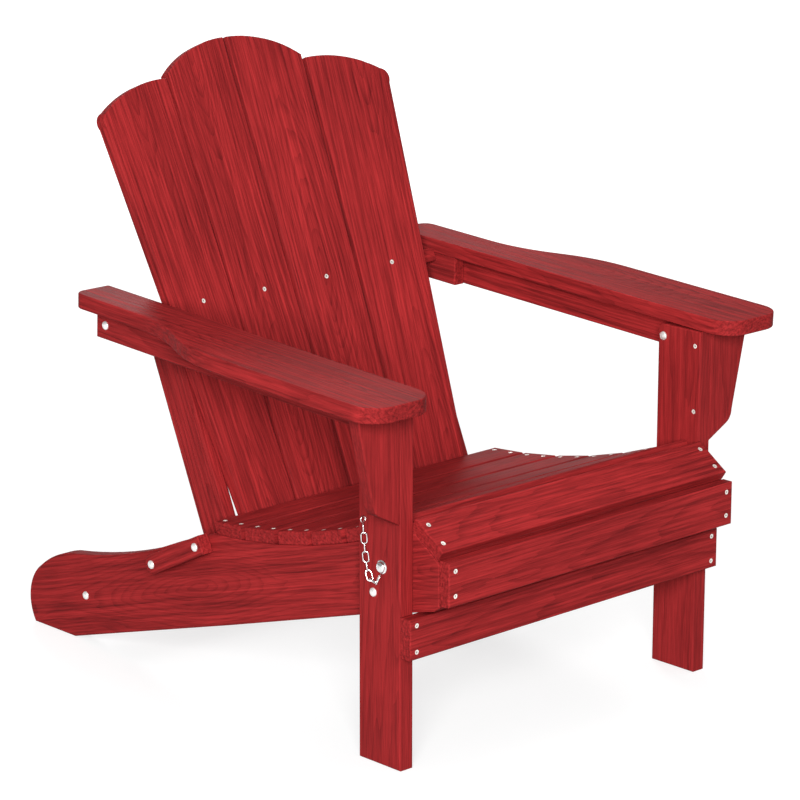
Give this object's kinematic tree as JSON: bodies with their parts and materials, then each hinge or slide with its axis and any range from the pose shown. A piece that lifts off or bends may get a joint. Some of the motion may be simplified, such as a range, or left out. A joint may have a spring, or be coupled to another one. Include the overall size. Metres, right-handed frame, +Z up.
{
  "type": "folding adirondack chair",
  "caption": "Low garden armchair of plastic boards: slatted contoured seat, fanned rounded back, broad arms and long sloping rear legs, made to fold flat.",
  "frame": {"origin": "on the ground, at the middle of the chair's footprint box", "axes": "+Z up, +Y towards the back of the chair, so the sitter faces -Y; +X is to the right as seen from the front, and nodes named left_ are at -X"},
  "size_m": [0.801, 0.9114, 0.8746],
  "materials": {
    "lumber": "satin, embossed wood grain",
    "screws": "satin",
    "bolts": "satin",
    "lock_metal": "polished",
    "sleeve": "matte"
  },
  "bodies": {
    "seat_frame": {"left_stringer": "lumber", "right_stringer": "lumber", "seat_slat_1": "lumber", "seat_slat_2": "lumber", "seat_slat_3": "lumber", "seat_slat_4": "lumber", "seat_slat_5": "lumber", "seat_slat_6": "lumber", "seat_nose_slat": "lumber", "front_fascia": "lumber", "rear_stretcher": "lumber", "seat_screws": "screws", "fascia_screws": "screws", "leg_pivot_bolts": "bolts", "link_pivot_bolts": "bolts", "stretcher_bolts": "bolts"},
    "front_legs": {"left_front_leg": "lumber", "right_front_leg": "lumber", "left_corbel": "lumber", "right_corbel": "lumber", "leg_crossbar": "lumber", "crossbar_screws": "screws", "corbel_screws": "screws", "arm_pivot_bolts": "bolts", "chain_eye": "lock_metal", "tether_chain": "lock_metal"},
    "left_arm": {"left_arm_board": "lumber", "left_arm_rail": "lumber", "left_arm_spacer": "lumber", "left_arm_screws": "screws", "left_arm_rear_bolt": "bolts"},
    "right_arm": {"right_arm_board": "lumber", "right_arm_rail": "lumber", "right_arm_spacer": "lumber", "right_arm_screws": "screws", "right_arm_rear_bolt": "bolts"},
    "left_link": {"left_link": "lumber", "left_pivot_sleeve": "sleeve", "left_back_pivot_bolt": "bolts"},
    "right_link": {"right_link": "lumber", "right_pivot_sleeve": "sleeve", "right_back_pivot_bolt": "bolts"},
    "back": {"back_slat_1": "lumber", "back_slat_2": "lumber", "back_slat_3": "lumber", "back_slat_4": "lumber", "upper_back_crossbar": "lumber", "lower_back_crossbar": "lumber", "left_back_strut": "lumber", "right_back_strut": "lumber", "back_slat_screws": "screws", "back_strut_screws": "screws"},
    "lock_pin": {"lock_pin": "lock_metal"}
  },
  "joints": [
    {"name": "leg_fold", "type": "hinge", "parent": "seat_frame", "child": "front_legs", "pos_m": [0, -0.3362, 0.2407], "axis": [1, 0, 0], "range_deg": [0, 80]},
    {"name": "left_arm_turn", "type": "hinge", "parent": "front_legs", "child": "left_arm", "pos_m": [0, -0.3174, 0.49], "axis": [1, 0, 0], "range_deg": [-75.29, 0]},
    {"name": "right_arm_turn", "type": "hinge", "parent": "front_legs", "child": "right_arm", "pos_m": [0, -0.3174, 0.49], "axis": [1, 0, 0], "range_deg": [-75.29, 0]},
    {"name": "left_link_swing", "type": "hinge", "parent": "seat_frame", "child": "left_link", "pos_m": [0, 0.1376, 0.1662], "axis": [1, 0, 0], "range_deg": [-128, 0]},
    {"name": "right_link_swing", "type": "hinge", "parent": "seat_frame", "child": "right_link", "pos_m": [0, 0.1376, 0.1662], "axis": [1, 0, 0], "range_deg": [-128, 0]},
    {"name": "back_recline", "type": "hinge", "parent": "left_link", "child": "back", "pos_m": [0, 0.0398, 0.2149], "axis": [1, 0, 0], "range_deg": [0, 219.28]},
    {"name": "lock_pin_pull", "type": "slide", "parent": "front_legs", "child": "lock_pin", "axis": [-1, 0, 0], "range_m": [0, 0.032]}
  ],
  "couplings": [
    {"joint": "left_arm_turn", "follows": "leg_fold", "ratio": -0.94113},
    {"joint": "right_arm_turn", "follows": "leg_fold", "ratio": -0.94113},
    {"joint": "left_link_swing", "follows": "leg_fold", "ratio": -1.6},
    {"joint": "right_link_swing", "follows": "leg_fold", "ratio": -1.6},
    {"joint": "back_recline", "follows": "leg_fold", "ratio": 2.741}
  ]
}
